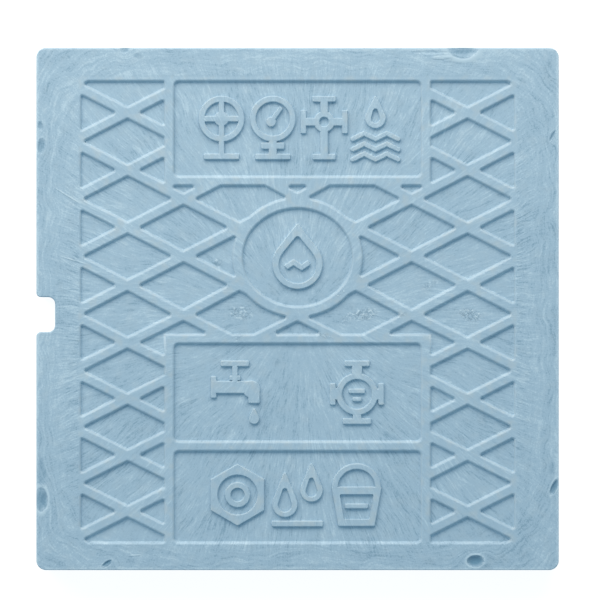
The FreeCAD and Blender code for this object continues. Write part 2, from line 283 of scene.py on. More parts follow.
class Board:
    """The node tree of a material or of the world, and the ways to add to it."""

    def __init__(self, owner: bpy.types.Material | bpy.types.World) -> None:
        """Empty the owner's tree.

        Args:
            owner: The material or the world.
        """
        self.owner = owner
        owner.use_nodes = True
        self.tree = owner.node_tree
        self.tree.nodes.clear()

    def node(
        self,
        kind: str,
        settings: dict[str, object] | None = None,
        inputs: dict[str | int, object] | None = None,
        output: str | int = 0,
    ) -> Wire:
        """Add a node, make its settings, and then feed its sockets.

        Args:
            kind: The node's type.
            settings: Its properties, set before the sockets.
            inputs: Values or wires, by a socket's name or number.
            output: The output that is wanted.

        Returns:
            A wire from that output.
        """
        made = self.tree.nodes.new(kind)
        for prop, setting in (settings or {}).items():
            setattr(made, prop, setting)
        for key, feed in (inputs or {}).items():
            if isinstance(feed, Wire):
                self.tree.links.new(feed.socket, made.inputs[key])
            else:
                made.inputs[key].default_value = feed
        socket = made.outputs[output] if len(made.outputs) else None
        return Wire(self, socket)

    def maths(self, operation: str, *values: Value) -> Wire:
        """Add a Math node.

        Args:
            operation: What the node works out.
            values: Its inputs, in order.

        Returns:
            The result.
        """
        feeds = dict(enumerate(values))
        return self.node("ShaderNodeMath", {"operation": operation}, feeds)

    def smooth_step(self, value: Wire, none: float, full: float) -> Wire:
        """Go smoothly from 0 at one value to 1 at another, which may be the lower one.

        Args:
            value: What is looked at.
            none: Where the mask is 0.
            full: Where it is 1.

        Returns:
            The mask.
        """
        # The step stays within 0 and 1 by itself. A clamp would only fill the shader's stack.
        settings = {"interpolation_type": "SMOOTHSTEP", "clamp": False}
        feeds = {"Value": value, "From Min": none, "From Max": full}
        return self.node("ShaderNodeMapRange", settings, feeds)

    def vector(self, x: Value, y: Value, z: Value) -> Wire:
        """Make a vector of three values."""
        return self.node("ShaderNodeCombineXYZ", None, {0: x, 1: y, 2: z})

    def noise(self, place: Wire, scale: float, detail: float, rough: float = 0.5) -> Wire:
        """Add a noise.

        Args:
            place: Where it is read.
            scale: Features in a unit of length.
            detail: How many finer layers it has.
            rough: How strong these are.

        Returns:
            A value about 0.5.
        """
        feeds = {"Vector": place, "Scale": scale, "Detail": detail, "Roughness": rough}
        return self.node("ShaderNodeTexNoise", None, feeds)

    def parts(self, place: Wire) -> tuple[Wire, Wire, Wire]:
        """Take a vector apart into its three numbers."""
        x = self.node("ShaderNodeSeparateXYZ", None, {0: place})
        return x, x.other(1), x.other(2)

    def shift(self, place: Wire, scale: float, detail: float) -> tuple[Wire, Wire]:
        """Work out a wandering offset from a coloured noise.

        Args:
            place: Where it is read.
            scale: Features in a unit of length.
            detail: How many finer layers it has.

        Returns:
            Two values from about -0.5 to 0.5.
        """
        feeds = {"Vector": place, "Scale": scale, "Detail": detail}
        colour = self.node("ShaderNodeTexNoise", None, feeds, "Color")
        red = self.node("ShaderNodeSeparateColor", None, {0: colour})
        return red - NOISE_MIDDLE, red.other(1) - NOISE_MIDDLE

    def blend(self, factor: Value, first: object, second: object) -> Wire:
        """Mix two colours.

        Args:
            factor: 0 for the first, 1 for the second.
            first: A colour or a wire.
            second: A colour or a wire.

        Returns:
            The mixed colour.
        """
        settings = {"data_type": "RGBA", "clamp_factor": True}
        feeds = {0: factor, 6: first, 7: second}
        return self.node("ShaderNodeMix", settings, feeds, 2)


def linear(red: int, green: int, blue: int) -> tuple[float, float, float, float]:
    """Turn a screen colour of 0 to 255 into a linear one.

    Args:
        red: The red part.
        green: The green part.
        blue: The blue part.

    Returns:
        The linear colour with alpha 1.
    """
    parts = []
    for part in (red, green, blue):
        share = part / 255
        low = share / 12.92
        high = ((share + 0.055) / 1.055) ** 2.4
        parts.append(low if share <= 0.04045 else high)
    return (*parts, 1.0)


@dataclass(frozen=True)
class Place:
    """The place that is being shaded, in object coordinates."""

    board: Board
    whole: Wire
    x: Wire
    y: Wire
    z: Wire


@dataclass(frozen=True)
class Flow:
    """A place bent by the flow of the plastic.

    Its x and y are measured from the gate, and outward grows towards the cover's edge.
    """

    place: Place
    x: Wire
    y: Wire
    outward: Wire


@dataclass(frozen=True)
class FlowStreaks:
    """Flow lines that run out from the gate under the middle of the cover."""

    width: float = 0.0016
    length: float = 0.0125
    rough: float = 0.6
    detail: float = 3.0
    gate: Point = (0.003, -0.007)
    wander_size: float = 0.085
    wander_reach: float = 0.024
    curl_size: float = 0.028
    curl_reach: float = 0.0055
    edge_curl: float = 3.2
    rounding: float = 5.0
    turning: Point = (0.252, 0.292)
    turned_share: float = 0.75
    edge_spread: float = 0.6
    edge_stretch: float = 0.5
    edge_contrast: float = 0.8
    radii: tuple[float, ...] = (0.04, 0.09, 0.17, 0.26, 0.36)
    least_radius: float = 0.0001
    layer_gap: float = 7.0
    mottle_spread: float = 0.2
    mottle_fade: Point = (0.01, 0.09)
    mottle_share: float = 0.75

    def flow(self, place: Place, push: Wire) -> Flow:
        """Bend the plan so that straight rays in it become wandering flow lines.

        Args:
            place: The place.
            push: How far scars press the lines away from the outer edge.

        Returns:
            The bent place.
        """
        board = place.board
        wide_x, wide_y = board.shift(place.whole, 1 / self.wander_size, 1.0)
        tight_x, tight_y = board.shift(place.whole, 1 / self.curl_size, 2.0)
        x = place.x - self.gate[0] + wide_x * self.wander_reach + tight_x * self.curl_reach
        y = place.y - self.gate[1] + wide_y * self.wander_reach + tight_y * self.curl_reach
        power = self.rounding
        outward = (abs(place.x) ** power + abs(place.y) ** power) ** (1 / power)
        outward = outward + wide_x * self.wander_reach
        outward = outward + tight_y * (self.curl_reach * self.edge_curl) + push
        return Flow(place, x, y, outward)

    def strands(self, flow: Flow) -> Wire:
        """Lay streaks out from the gate that turn along the cover's edge when they near it.

        Args:
            flow: The bent place.

        Returns:
            A value about 0.5 that changes fast across the flow and slowly along it.
        """
        board = flow.place.board
        spread = self.edge_spread / self.width
        stretch = self.edge_stretch / self.length
        spot = board.vector(flow.outward * spread, flow.place.x * stretch, flow.place.y * stretch)
        along_edge = board.noise(spot, 1.0, self.detail, self.rough) - NOISE_MIDDLE
        along_edge = along_edge * self.edge_contrast + NOISE_MIDDLE
        turned = board.smooth_step(flow.outward, *self.turning) * self.turned_share
        rays = self.rays(flow)
        return rays + (along_edge - rays) * turned

    def rays(self, flow: Flow) -> Wire:
        """Lay streaks of an even width all the way out from a mottled patch at the gate.

        Args:
            flow: The bent place.

        Returns:
            A value about 0.5 that changes fast across the flow and slowly along it.
        """
        board = flow.place.board
        radius = board.maths("SQRT", flow.x * flow.x + flow.y * flow.y) + self.least_radius
        ray_x = flow.x / radius
        ray_y = flow.y / radius
        total = None
        for index, middle in enumerate(self.radii):
            turns = middle / self.width
            along = radius / self.length + self.layer_gap * index
            spot = board.vector(ray_x * turns, ray_y * turns, along)
            layer = board.noise(spot, 1.0, self.detail, self.rough)
            if total is None:
                total = layer
                continue
            mask = board.smooth_step(radius, self.radii[index - 1], middle)
            total = total + (layer - total) * mask
        size = self.mottle_spread / self.width
        mottle = board.noise(flow.place.whole, size, self.detail, self.rough)
        away = board.smooth_step(radius, *self.mottle_fade) * self.mottle_share
        return mottle + (total - mottle) * (away + (1 - self.mottle_share))


@dataclass(frozen=True)
class Zones:
    """Masks of 0 to 1 for parts of the cover, each with the measures between which it fades."""

    rib_level: Point = (0.0382, 0.0398)
    field_side: Point = (0.253, 0.250)
    field_end: Point = (0.269, 0.266)
    # Painted highlight: this band bounds the pale strip along the outer edge.
    edge_band: Point = (0.2955, 0.2995)
    # Painted highlight: the next two bands bound the pale band on the rims of ribs and fields.
    wall: Point = (0.0370, 0.0384)
    rounding: Point = (0.0399, 0.0390)
    upper_side: Point = (0.030, 0.034)

    def ribs(self, place: Place) -> Wire:
        """Mask what stands at the top level."""
        return place.board.smooth_step(place.z, *self.rib_level)

    def fields(self, place: Place) -> Wire:
        """Mask what lies within the fields' outer edge."""
        within = place.board.smooth_step(abs(place.x), *self.field_side)
        return within * place.board.smooth_step(abs(place.y), *self.field_end)

    def above(self, place: Place) -> Wire:
        """Mask the walked-on side, down to the floors of the fields."""
        return place.board.smooth_step(place.z, *self.upper_side)

    def outer_rim(self, place: Place) -> Wire:
        """Mask the strip along the cover's rounded outer edge, where a highlight is painted."""
        outward = place.board.maths("MAXIMUM", abs(place.x), abs(place.y))
        return place.board.smooth_step(outward, *self.edge_band) * self.above(place)

    def rim_highlight_band(self, place: Place) -> Wire:
        """Mask the rims of ribs and fields, from the rounding down the wall, where a highlight is
        painted.
        """
        rising = place.board.smooth_step(place.z, *self.wall)
        return rising * place.board.smooth_step(place.z, *self.rounding)


@dataclass(frozen=True)
class Spot:
    """An ellipse on the plan, with sizes in millimetres and its turn in degrees."""

    x: float
    y: float
    half_length: float
    half_width: float
    turn: float

    def reach(self, place: Place) -> Wire:
        """Measure how far out a place lies, with 0 in the middle and 1 on the rim.

        Args:
            place: The place.

        Returns:
            The distance.
        """
        run = math.cos(math.radians(self.turn))
        climb = math.sin(math.radians(self.turn))
        x = place.x - self.x * MM
        y = place.y - self.y * MM
        along = (x * run + y * climb) / (self.half_length * MM)
        across = (y * run - x * climb) / (self.half_width * MM)
        return place.board.maths("SQRT", along * along + across * across)


@dataclass(frozen=True)
class Scar(Spot):
    """A dent with its own depth and pale rim, or a raised scratch.

    A depth of 1 is the deepest dent and one below 0 is a scratch. A rim of 0 has no pale
    edge, and the flow lines don't go round it.
    """

    depth: float
    rim: float = 0.0


@dataclass(frozen=True)
class Fray(Spot):
    """A patch where the skin of the plastic is torn into pale flecks and fine cracks."""

    strength: float


FRAYS = (
    Fray(77.4, -6.5, 15, 8, 10, 1.1),
    Fray(58, -11, 12, 7, 30, 0.4),
    Fray(198.5, -7, 14, 8, -15, 1.3),
    Fray(-64.9, -4.7, 17, 10, 0, 0.6),
    Fray(49.3, 17.7, 6, 3, 40, 0.8),
    Fray(31.5, -31.1, 11, 4, -20, 0.7),
    Fray(-66, -32.3, 9, 5, 20, 0.6),
    Fray(121, -7, 7, 3, 30, 0.7),
    Fray(152, 27.4, 12, 5, 25, 0.4),
    Fray(-92, 52, 9, 6, 60, 0.4),
)
SCARS = (
    Scar(-198, 299.5, 7, 7.5, 0, 0.5, 0.3),
    Scar(-183.5, 290, 7.5, 4, -20, 0.3),
    Scar(190, 300.5, 19.5, 14.5, 0, 0.55, 1.7),
    Scar(165, 288.5, 14, 2.6, 3, -0.5),
    Scar(-295.5, 210, 6, 3.6, 115, 0.5, 0.2),
    Scar(-294, 187, 10, 5.5, 84, 0.4, 0.4),
    Scar(-294.5, -219.4, 15, 8.2, 90, 0.55, 1.3),
    Scar(-294, -191, 22, 6, 90, 0.25),
    Scar(-218.8, -292.8, 7.4, 3.3, 36, 0.9, 0.4),
    Scar(204.2, -289.8, 10.2, 7.4, 0, 1.0, 1.2),
    Scar(293, 198.3, 7.5, 3.2, 63, 0.4, 0.1),
    Scar(295, -204.5, 11, 4, 67, 0.8, 0.6),
    Scar(291.5, -184, 10, 3.5, 80, 0.25),
    Scar(-264.6, 130.2, 20.4, 1.2, -32, -0.6),
    Scar(-254.3, 55, 16.7, 1.2, -16, -0.6),
    Scar(-186.6, -283, 8.5, 1.1, 3, -0.5),
    Scar(11.4, -124.7, 14.4, 1.1, 92, -0.4),
)


@dataclass(frozen=True)
class Wear:
    """Dents, scratches and torn patches in the walked-on face.

    The fields fleck and the two on cracks are values of the crumpled noise. The other
    pairs are distances as Spot.reach gives them.
    """

    hollow: Point = (1.08, 0.42)
    press: Point = (3.2, 0.6)
    press_share: float = 1.3
    rim_inside: Point = (0.85, 1.0)
    rim_outside: Point = (1.4, 1.05)
    torn: Point = (1.15, 0.4)
    crumple_scale: float = 240.0
    crumple_detail: float = 3.0
    crumple_rough: float = 0.6
    fleck: Point = (0.55, 0.64)
    crack_middle: float = 0.46
    crack_reach: float = 0.03

    def scars(self, place: Place) -> tuple[Wire, Wire, Wire]:
        """Gather what the scars do to the surface.

        Args:
            place: The place.

        Returns:
            How far the flow lines are pressed inwards, the pale rims and the deep middles.
        """
        board = place.board
        push, rims, pits = 0.0, 0.0, 0.0
        for scar in SCARS:
            reach = scar.reach(place)
            pits = pits + board.smooth_step(reach, *self.hollow) * scar.depth
            if scar.rim == 0.0:
                continue
            pressed = scar.half_width * MM * self.press_share
            push = push + board.smooth_step(reach, *self.press) * pressed
            ring = board.smooth_step(reach, *self.rim_inside)
            ring = ring * board.smooth_step(reach, *self.rim_outside)
            rims = rims + ring * scar.rim
        return push, rims, pits

    def frays(self, place: Place) -> tuple[Wire, Wire]:
        """Lay pale flecks and dark cracks over the torn patches.

        Args:
            place: The place.

        Returns:
            The flecks and the cracks.
        """
        board = place.board
        torn = 0.0
        for fray in FRAYS:
            torn = torn + board.smooth_step(fray.reach(place), *self.torn) * fray.strength
        crumple = board.noise(
            place.whole, self.crumple_scale, self.crumple_detail, self.crumple_rough
        )
        fleck = board.smooth_step(crumple, *self.fleck)
        crack = board.smooth_step(abs(crumple - self.crack_middle), self.crack_reach, 0.0)
        return torn * fleck, torn * crack


@dataclass(frozen=True)
class Shares:
    """How much each pattern adds to the tint or to the height."""

    strands: float
    bands: float
    grain: float
    scratches: float
    rims: float
    pits: float
    flecks: float
    cracks: float


@dataclass(frozen=True)
class Patterns:
    """The patterns that both the colour and the bumps are made from."""

    strands: Wire
    bands: Wire
    grain: Wire
    scratches: Wire
    rims: Wire
    pits: Wire
    flecks: Wire
    cracks: Wire

    def streaked(self, shares: Shares, middle: float) -> Wire:
        """Add up strands, bands and grain.

        Args:
            shares: What each adds.
            middle: The value from which they are measured.

        Returns:
            The sum.
        """
        total = (self.strands - middle) * shares.strands + (self.bands - middle) * shares.bands
        return total + (self.grain - middle) * shares.grain

    def marked(self, shares: Shares) -> Wire:
        """Add up scratches, scars and torn patches.

        Args:
            shares: What each adds.

        Returns:
            The sum.
        """
        total = self.scratches * shares.scratches
        total = total + self.rims * shares.rims + self.pits * shares.pits
        return total + self.flecks * shares.flecks + self.cracks * shares.cracks


@dataclass(frozen=True)
class BlueMoulding:
    """Pale blue-grey filled plastic with flow streaks and a satin surface.

    A tint of 0 is the base colour. At the full tint it is the pale one, and at the full
    tint below 0 the deep one.
    """

    base: Colour = (162, 193, 212)
    pale: Colour = (185, 213, 228)
    deep: Colour = (133, 167, 188)
    # The pale grey of the painted sheen and of the painted rim highlights.
    painted_sheen_colour: Colour = (179, 199, 208)
    # Painted shade: the dark blue that the dents' deep middles are blended towards.
    pit_shade_colour: Colour = (92, 138, 165)
    streaks: FlowStreaks = FlowStreaks()
    bands: FlowStreaks = FlowStreaks(width=0.0065, length=0.05, rough=0.5, detail=1.5)
    zones: Zones = Zones()
    wear: Wear = Wear()
    scratch_range: Point = (0.64, 0.76)
    cloud_noise: Point = (16.0, 3.0)
    grain_noise: Point = (620.0, 2.5)
    pearl_noise: Point = (75.0, 2.0)
    pearl_range: Point = (0.45, 0.75)
    full_tint: float = 0.6
    tint_shares: Shares = Shares(
        strands=1.9,
        bands=0.9,
        grain=0.8,
        scratches=0.12,
        rims=0.5,
        # Painted shade: the dents' deep middles are tinted darker.
        pits=-0.6,
        flecks=1.6,
        cracks=-0.9,
    )
    cloud_tint: float = 0.6
    border_tint: float = 0.05
    rib_tint: float = 0.1
    # Painted highlight: how much paler the rounded outer edge of the top is painted.
    edge_highlight_tint: float = 0.5
    # Painted light: the cover is painted paler towards its upper left, where the lamp stands, and
    # darker towards its lower right.
    painted_light_slope: Point = (-0.05, 0.15)
    border_contrast: float = 1.5
    field_calm: float = 0.48
    rib_calm: float = 0.25
    # Painted shade: how far the dents' deep middles are blended towards the dark blue.
    pit_shade_share: float = 0.75
    painted_sheen_share: float = 0.15
    painted_sheen_rib_share: float = 0.45
    # Painted highlight: how far the rims of ribs and fields are blended towards the pale grey.
    rim_highlight_share: float = 0.3
    height_shares: Shares = Shares(
        strands=0.8,
        bands=0.3,
        grain=0.15,
        scratches=0.1,
        rims=0.8,
        pits=-2.2,
        flecks=3.2,
        cracks=-2.4,
    )
    bump_strength: float = 0.5
    bump_depth: float = 0.00045
    roughness: float = 0.52
    cloud_rough: float = 0.2
    grain_rough: float = 0.1
    refraction: float = 1.46
    specular: float = 0.35

    def material(self) -> bpy.types.Material:
        """Build the finish.

        Returns:
            The material.
        """
        board = Board(bpy.data.materials.new("blue_moulding"))
        whole = board.node("ShaderNodeTexCoord", None, None, "Object")
        place = Place(board, whole, *board.parts(whole))
        seen = self.patterns(place)
        clouds = board.noise(whole, *self.cloud_noise) - NOISE_MIDDLE
        fields = self.zones.fields(place)
        ribs = self.zones.ribs(place) * fields
        contrast = self.border_contrast - fields * self.field_calm - ribs * self.rib_calm
        tint = seen.streaked(self.tint_shares, NOISE_MIDDLE) * contrast
        tint = tint + seen.marked(self.tint_shares) + clouds * self.cloud_tint
        tint = tint + (1 - fields) * self.border_tint + ribs * self.rib_tint
        # Painted highlight: the rounded outer edge of the top is painted paler.
        tint = tint + self.zones.outer_rim(place) * self.edge_highlight_tint
        # Painted light: paler towards the upper left, darker towards the lower right.
        tint = tint + place.x * self.painted_light_slope[0] + place.y * self.painted_light_slope[1]
        colour = self.tinted(board, tint)
        # Painted shade: the dents' deep middles are blended towards a dark blue, standing in for the
        # shade that falls in them.
        hollow = board.maths("MAXIMUM", seen.pits, 0.0) * self.pit_shade_share
        colour = board.blend(hollow, colour, linear(*self.pit_shade_colour))
        # Painted sheen: a mottle of pale grey, strongest on the rib tops.
        painted_sheen = board.smooth_step(board.noise(whole, *self.pearl_noise), *self.pearl_range)
        painted_sheen = painted_sheen * (ribs * self.painted_sheen_rib_share + self.painted_sheen_share)
        # Painted highlight: the rounded rims of the ribs and fields are blended towards the pale
        # grey as well.
        painted_sheen = painted_sheen + self.zones.rim_highlight_band(place) * fields * self.rim_highlight_share
        colour = board.blend(painted_sheen, colour, linear(*self.painted_sheen_colour))
        rough = self.roughness + clouds * self.cloud_rough
        rough = rough + (seen.grain - NOISE_MIDDLE) * self.grain_rough
        height = seen.streaked(self.height_shares, 0.0) + seen.marked(self.height_shares)
        shader = board.node(
            "ShaderNodeBsdfPrincipled",
            None,
            {
                "Base Color": colour,
                "Roughness": rough,
                "IOR": self.refraction,
                "Specular IOR Level": self.specular,
                "Normal": self.bump(board, height * contrast),
            },
        )
        board.node("ShaderNodeOutputMaterial", None, {"Surface": shader})
        return board.owner

    def patterns(self, place: Place) -> Patterns:
        """Lay out the patterns that the colour and the bumps share.

        Args:
            place: The place.

        Returns:
            The patterns.
        """
        board = place.board
        above = self.zones.above(place)
        push, rims, pits = self.wear.scars(place)
        flow = self.streaks.flow(place, push)
        strands = self.streaks.strands(flow)
        flecks, cracks = self.wear.frays(place)
        return Patterns(
            strands=strands,
            bands=self.bands.strands(flow),
            grain=board.noise(place.whole, *self.grain_noise),
            scratches=board.smooth_step(strands, *self.scratch_range),
            rims=rims * above,
            pits=pits * above,
            flecks=flecks * above,
            cracks=cracks * above,
        )

    def tinted(self, board: Board, tint: Wire) -> Wire:
        """Turn a tint into a colour.

        Args:
            board: The material's board.
            tint: How far the place is from the base colour.

        Returns:
            The colour.
        """
        paler = board.smooth_step(tint, 0.0, self.full_tint)
        deeper = board.smooth_step(tint, 0.0, -self.full_tint)
        colour = board.blend(paler, linear(*self.base), linear(*self.pale))
        return board.blend(deeper, colour, linear(*self.deep))

    def bump(self, board: Board, height: Wire) -> Wire:
        """Turn a height into a surface direction."""
        feeds = {"Strength": self.bump_strength, "Distance": self.bump_depth, "Height": height}
        return board.node("ShaderNodeBump", None, feeds)


@dataclass
class CoverSkin:
    """The moulding itself: the cover's solid with every edge rounded as the mould left it."""

    node: bpy.types.Object
    top: float = 0.040
    floor: float = 0.0365
    level_play: float = 0.00005
    rim_round: float = 0.0020
    rim_steps: int = 4
    floor_round: float = 0.0010
    floor_steps: int = 3
    under_round: float = 0.0008
    under_steps: int = 2
    least_angle: float = 30.0
    field_reach: float = 0.275
    under_gap: float = 0.005
    bay_pitch: float = 0.05885
    bays: int = 10
    facing_down: float = -0.99
    join_reach: float = 0.000002
    flat_angle: float = 0.4
    smooth_angle: float = 35.0

    def build(self, material: bpy.types.Material) -> bpy.types.Object:
        """Copy the solid, round its edges and dress it.

        Args:
            material: The finish.

        Returns:
            The finished skin.
        """
        skin = self.copied()
        Bench.join_points(skin, self.join_reach)
        self.part_rim(skin)
        Bench.clear_flats(skin, self.flat_angle)
        mouths = self.at_level(skin, self.top)
        self.round_edges(skin, mouths, self.rim_round, self.rim_steps)
        self.round_edges(skin, self.at_level(skin, self.floor), self.floor_round, self.floor_steps)
        self.round_edges(skin, self.below_floor(skin), self.under_round, self.under_steps)
        Bench.smooth(skin, self.smooth_angle)
        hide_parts(NODE)
        Bench.finish_piece(skin, material)
        return skin

    def copied(self) -> bpy.types.Object:
        """Copy the solid's mesh into a piece of its own.

        Returns:
            The copy.
        """
        Bench.take(self.node)
        bpy.ops.object.duplicate(linked=False)
        skin = bpy.context.object
        skin.name = "cover_skin"
        skin.data.name = "cover_skin"
        skin.parent = None
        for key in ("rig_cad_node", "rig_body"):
            if key in skin:
                del skin[key]
        return skin

    def part_rim(self, skin: bpy.types.Object) -> None:
        """Part the rim that runs round all the bays into one face for each crossing.

        Args:
            skin: The piece.
        """
        for axis in (0, 1):
            for number in range(self.bays):
                place = Vector((0.0, 0.0, 0.0))
                place[axis] = (number - (self.bays - 1) / 2) * self.bay_pitch
                normal = Vector((0.0, 0.0, 0.0))
                normal[axis] = 1.0
                Bench.pick(skin, Element.FACE, self.is_rim)
                bpy.ops.mesh.bisect(plane_co=place, plane_no=normal)
                bpy.ops.mesh.mark_seam()
                bpy.ops.object.mode_set(mode="OBJECT")

    def is_rim(self, face: bpy.types.MeshPolygon) -> bool:
        """Say whether a face lies on the plane that the cover rests on."""
        return face.normal.z < self.facing_down and face.center.z < self.level_play

    def at_level(self, skin: bpy.types.Object, level: float) -> set[int]:
        """Find the fields' sharp edges that lie level at a height.

        Args:
            skin: The piece.
            level: The height.

        Returns:
            The numbers of the edges.
        """
        found = set()
        spots = skin.data.vertices
        for number in Bench.sharp_edges(skin, self.least_angle):
            ends = [spots[end].co for end in skin.data.edges[number].vertices]
            inside = max(abs(c) for e in ends for c in e.xy) < self.field_reach
            if inside and max(abs(end.z - level) for end in ends) < self.level_play:
                found.add(number)
        return found

    def below_floor(self, skin: bpy.types.Object) -> set[int]:
        """Find the sharp edges of the underside.

        Args:
            skin: The piece.

        Returns:
            The numbers of the edges.
        """
        found = set()
        spots = skin.data.vertices
        for number in Bench.sharp_edges(skin, self.least_angle):
            ends = [spots[end].co for end in skin.data.edges[number].vertices]
            level = max(end.z for end in ends) - min(end.z for end in ends) < self.level_play
            if level and max(end.z for end in ends) < self.floor - self.under_gap:
                found.add(number)
        return found

    def round_edges(
        self, skin: bpy.types.Object, numbers: set[int], width: float, steps: int
    ) -> None:
        """Round some edges.

        Args:
            skin: The piece.
            numbers: Which edges.
            width: How far the rounding reaches.
            steps: How many faces it has.
        """
        taken = Bench.pick(skin, Element.EDGE, lambda edge: edge.index in numbers)
        bpy.ops.mesh.bevel(
            offset=width,
            offset_type="OFFSET",
            segments=steps,
            profile=0.5,
            affect="EDGES",
            clamp_overlap=False,
            loop_slide=False,
        )
        bpy.ops.object.mode_set(mode="OBJECT")
        LOG.info("%s: %d edges rounded by %.4f", skin.name, taken, width)


@dataclass(frozen=True)
class Stroke:
    """One part of a raised mark, or a hollow in it: the hull round a few discs.

    The discs are given as x, y and radius, in millimetres from the mark's middle.
    """

    lobes: tuple[Lobe, ...]
    hollow: bool = False


def disc(x: float, y: float, radius: float, hollow: bool = False) -> Stroke:
    """Make a round stroke."""
    return Stroke(((x, y, radius),), hollow)


def bar(x0: float, y0: float, x1: float, y1: float, width: float = 7.6) -> Stroke:
    """Make a straight stroke with square ends.

    Args:
        x0: Where it starts.
        y0: Where it starts.
        x1: Where it ends.
        y1: Where it ends.
        width: How broad it is at its foot.

    Returns:
        The stroke.
    """
    corner = 2.2
    length = math.hypot(x1 - x0, y1 - y0)
    run = (x1 - x0) / length
    climb = (y1 - y0) / length
    side = width / 2 - corner
    lobes = []
    for x, y, way in ((x0, y0, corner), (x1, y1, -corner)):
        for hand in (side, -side):
            lobes.append((x + run * way - climb * hand, y + climb * way + run * hand, corner))
    return Stroke(tuple(lobes))


def drop(x: float, y: float, radius: float, height: float, hollow: bool = False) -> Stroke:
    """Make a drop: a disc with a point above it.

    Args:
        x: The disc's middle.
        y: The disc's middle.
        radius: The disc's radius.
        height: From the disc's middle to the tip.
        hollow: Whether it is cut out.

    Returns:
        The stroke.
    """
    tip = 2.3
    return Stroke(((x, y, radius), (x, y + height - tip, tip)), hollow)


def hexagon(reach: float, radius: float) -> Stroke:
    """Make a hexagon that stands on a corner."""
    turns = [side * math.pi / 3 for side in range(6)]
    return Stroke(tuple((reach * math.sin(turn), reach * math.cos(turn), radius) for turn in turns))


def wave(y: float, width: float = 6.6) -> list[Stroke]:
    """Make a wave across a mark from four slanting bars with round joints.

    Args:
        y: Its height on the mark.
        width: How broad it is at its foot.

    Returns:
        The strokes.
    """
    stride = 13.0
    swing = 3.2
    bends = [((step - 2) * stride, y - swing * (-1) ** step) for step in range(5)]
    bars = [bar(*bends[step], *bends[step + 1], width) for step in range(4)]
    return bars + [disc(*bend, width / 2) for bend in bends]


SHAPES: dict[Motif, list[Stroke]] = {
    Motif.HANDWHEEL: [
        disc(0, 10.5, 26.8),
        disc(0, 10.5, 19.0, True),
        bar(-21, 10.5, 21, 10.5),
        bar(0, -36, 0, 33),
        disc(0, 10.5, 9.0),
        bar(-21, -32.8, 21, -32.8),
    ],
    Motif.GAUGE: [
        disc(0, 10.5, 26.8),
        disc(0, 10.5, 19.0, True),
        bar(-5, 3, 10, 24, 6.4),
        disc(-2, 7, 6.2),
        bar(0, -14, 0, -36, 10.5),
        bar(-14, -20.5, 14, -20.5, 8.4),
        bar(-21, -33, 21, -33),
    ],
    Motif.CROSS_PIPE: [
        bar(0, -36, 0, 36, 10),
        bar(-26, 7, 26, 7, 10),
        bar(-14, 33.2, 14, 33.2),
        bar(-14, -33.2, 14, -33.2),
        bar(-23.8, -7, -23.8, 21),
        bar(23.8, -7, 23.8, 21),
        disc(0, 7, 12.5),
        disc(0, 7, 5.0, True),
    ],
    Motif.SPRING_WATER: [
        drop(0, 11.5, 12.5, 25.5),
        drop(0, 10.5, 4.4, 11.0, True),
        *wave(-9.5),
        *wave(-21.5),
        *wave(-33.0),
    ],
    Motif.BIG_DROP: [
        drop(0, -8.5, 29.5, 46.5),
        drop(0, -9.5, 21.0, 32.0, True),
        bar(-14, -13, -4.5, -6.5, 7.2),
        bar(-4.5, -6.5, 4.5, -13, 7.2),
        bar(4.5, -13, 14, -6.5, 7.2),
        disc(-4.5, -6.5, 3.6),
        disc(4.5, -13, 3.6),
    ],
    Motif.TAP: [
        bar(-31, 6, 16, 6, 15),
        disc(16, 3.5, 10.5),
        bar(19, 4, 19, -13, 14.5),
        bar(-27.5, -7, -27.5, 19),
        bar(-3, 10, -3, 32),
        bar(-20, 33.2, 14, 33.2),
        bar(-10, 16.5, 4, 16.5, 6.5),
        drop(19, -30.5, 6.6, 12.5),
    ],
    Motif.METER_BODY: [
        disc(0, -2, 24.5),
        disc(0, -2, 16.6, True),
        bar(-31, -2, -21, -2, 14),
        bar(21, -2, 31, -2, 14),
        bar(-27.8, -15, -27.8, 11),
        bar(27.8, -15, 27.8, 11),
        bar(0, 19, 0, 32, 13),
        bar(-15, 33.2, 15, 33.2),
        bar(-10, 1.5, 10, 1.5, 6.4),
        bar(-6, -8, 6, -8, 5.6),
        bar(0, -24, 0, -34, 11),
        bar(-17, -33.2, 17, -33.2),
    ],
    Motif.HEX_NUT: [
        hexagon(33.4, 2.4),
        disc(0, 0, 22.4, True),
        disc(0, 0, 15.0),
        disc(0, 0, 7.4, True),
    ],
    Motif.DROP_PAIR: [
        drop(-14.5, -11, 15.2, 37),
        drop(-14.5, -12, 7.4, 19, True),
        drop(16, 5, 13.6, 31.5),
        drop(16, 4, 6.0, 15, True),
        bar(-30, -33.2, 30, -33.2),
    ],
    Motif.BUCKET: [
        disc(0, 8, 28.5),
        disc(0, 8, 21.0, True),
        Stroke(((-32, -20, 1), (32, -20, 1), (32, 6, 1), (-32, 6, 1)), True),
        Stroke(((-27, 7.5, 2.2), (27, 7.5, 2.2), (19.5, -34.4, 2.2), (-19.5, -34.4, 2.2))),
        Stroke(((-17.5, -1, 1.2), (17.5, -1, 1.2), (13, -26.5, 1.2), (-13, -26.5, 1.2)), True),
        bar(-14, -13, 14, -13, 6.6),
    ],
}


